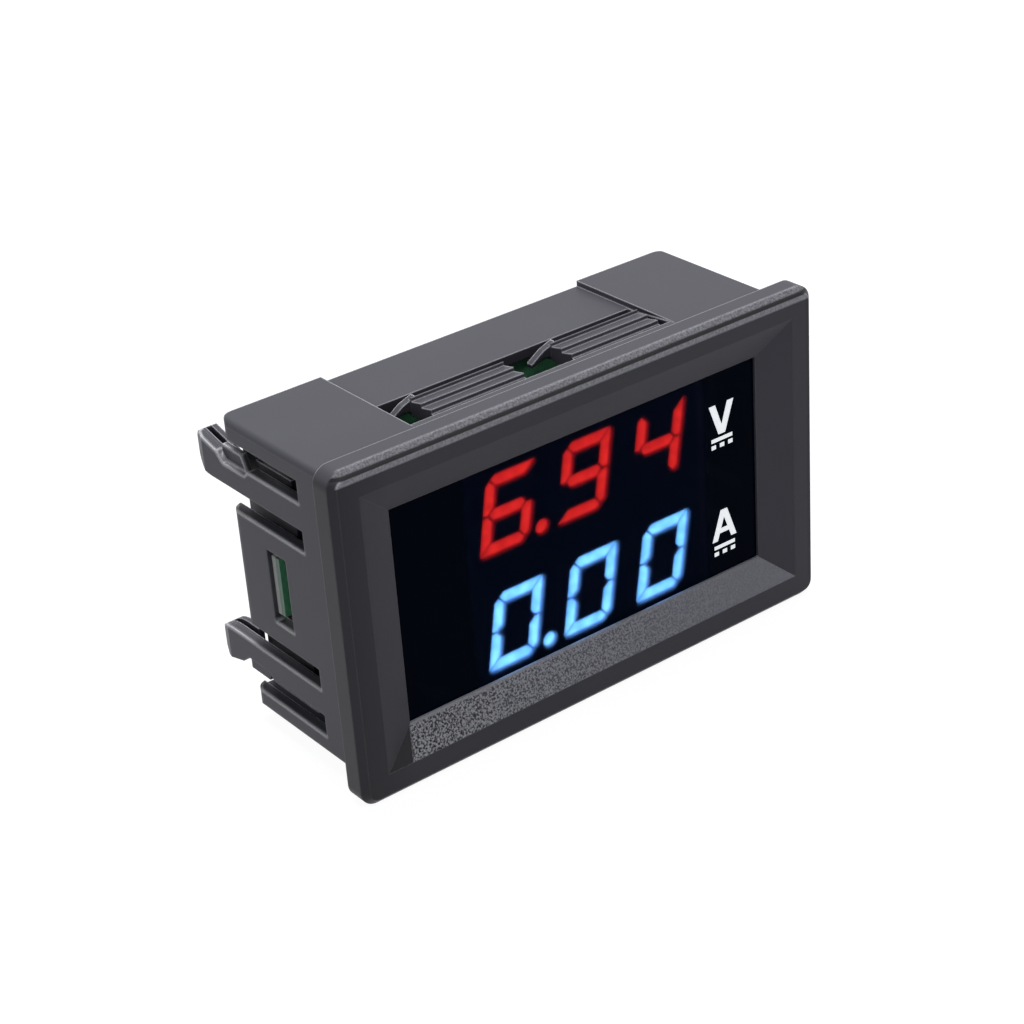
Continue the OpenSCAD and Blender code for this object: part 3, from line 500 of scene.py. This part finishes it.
# ---------------------------------------------------------------- stage, lights, camera
def stage():
    """A pale floor at the object's foot and a white world round it."""
    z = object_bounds()[0][2]
    reach = 1.2
    corners = [(-reach, -reach, z), (reach, -reach, z), (reach, reach, z), (-reach, reach, z)]
    mesh = bpy.data.meshes.new("floor")
    mesh.from_pydata(corners, [], [(0, 1, 2, 3)])
    floor = bpy.data.objects.new("floor", mesh)
    bpy.context.scene.collection.objects.link(floor)
    look = Look("pale_floor")
    grey = look.mix(look.noise(0.08), (0.24, 0.24, 0.25), (0.27, 0.27, 0.28))
    paint = look.add("BsdfDiffuse", {"Color": grey}).outputs[0]
    # seen by the camera or through glass and metal it is lifted to white, with the object's shadow left in
    path = look.add("LightPath")
    seen = look.math("MAXIMUM", path.outputs["Is Camera Ray"], path.outputs["Is Transmission Ray"])
    seen = look.math("MAXIMUM", seen, path.outputs["Is Glossy Ray"])
    strength = look.math("MULTIPLY", seen, 0.94)
    lift = look.add("Emission", {"Color": (1, 1, 1, 1), "Strength": strength}).outputs[0]
    look.links.new(look.add("AddShader", {0: paint, 1: lift}).outputs[0], look.out.inputs["Surface"])
    mesh.materials.append(look.material)
    floor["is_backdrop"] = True

    world = bpy.data.worlds.new("studio")
    bpy.context.scene.world = world
    world.use_nodes = True
    tree = world.node_tree
    tree.nodes.clear()
    path = tree.nodes.new("ShaderNodeLightPath")
    white = tree.nodes.new("ShaderNodeBackground")
    white.inputs["Color"].default_value = (1, 1, 1, 1)
    fill = tree.nodes.new("ShaderNodeBackground")
    fill.inputs["Color"].default_value = (0.80, 0.82, 0.90, 1)
    fill.inputs["Strength"].default_value = 0.08
    mix = tree.nodes.new("ShaderNodeMixShader")
    out = tree.nodes.new("ShaderNodeOutputWorld")
    seen = path.outputs["Is Camera Ray"]
    for kind in ("Is Glossy Ray", "Is Transmission Ray"):
        either = tree.nodes.new("ShaderNodeMath")
        either.operation = "MAXIMUM"
        tree.links.new(seen, either.inputs[0])
        tree.links.new(path.outputs[kind], either.inputs[1])
        seen = either.outputs[0]
    tree.links.new(seen, mix.inputs[0])
    tree.links.new(fill.outputs[0], mix.inputs[1])
    tree.links.new(white.outputs[0], mix.inputs[2])
    tree.links.new(mix.outputs[0], out.inputs["Surface"])


def direction(azimuth, elevation):
    """Unit vector from the object; azimuth 0 is its front."""
    a, e = math.radians(azimuth), math.radians(elevation)
    return Vector((math.sin(a) * math.cos(e), -math.cos(a) * math.cos(e), math.sin(e)))


def softbox(name, azimuth, elevation, distance, size, power):
    """An area light that faces the object from that direction."""
    light = bpy.data.lights.new(name, "AREA")
    light.shape = "RECTANGLE"
    light.size, light.size_y = size
    light.energy = power
    holder = bpy.data.objects.new(name, light)
    towards = direction(azimuth, elevation)
    holder.location = towards * distance
    holder.rotation_euler = towards.to_track_quat("Z", "Y").to_euler()
    bpy.context.scene.collection.objects.link(holder)


def camera(azimuth, elevation, roll, distance, target, lens):
    """The photo's viewpoint: rolled a little, looking at the target from that direction."""
    r = math.radians(roll)
    back = direction(azimuth, elevation)
    right = (-back).cross(Vector((0, 0, 1))).normalized()
    up = right.cross(-back)
    right, up = right * math.cos(r) + up * math.sin(r), up * math.cos(r) - right * math.sin(r)
    data = bpy.data.cameras.new("camera")
    data.lens = lens
    data.sensor_width = 36
    data.clip_start = 0.01
    holder = bpy.data.objects.new("camera", data)
    place = Matrix((right, up, back)).transposed().to_4x4()
    place.translation = Vector(target) + back * distance
    holder.matrix_world = place
    bpy.context.scene.collection.objects.link(holder)
    bpy.context.scene.camera = holder


stage()
softbox("top", azimuth=150, elevation=70, distance=0.40, size=(0.30, 0.16), power=1.0)
softbox("left", azimuth=-80, elevation=25, distance=0.45, size=(0.20, 0.26), power=0.22)
softbox("front", azimuth=0, elevation=62, distance=0.50, size=(0.20, 0.12), power=0.28)
camera(azimuth=-36.15, elevation=28.38, roll=-4.27, distance=194.75 * MM,
       target=(-2.23 * MM, 5.7 * MM, 0.33 * MM), lens=84.5)
bpy.context.scene.view_settings.view_transform = "Standard"
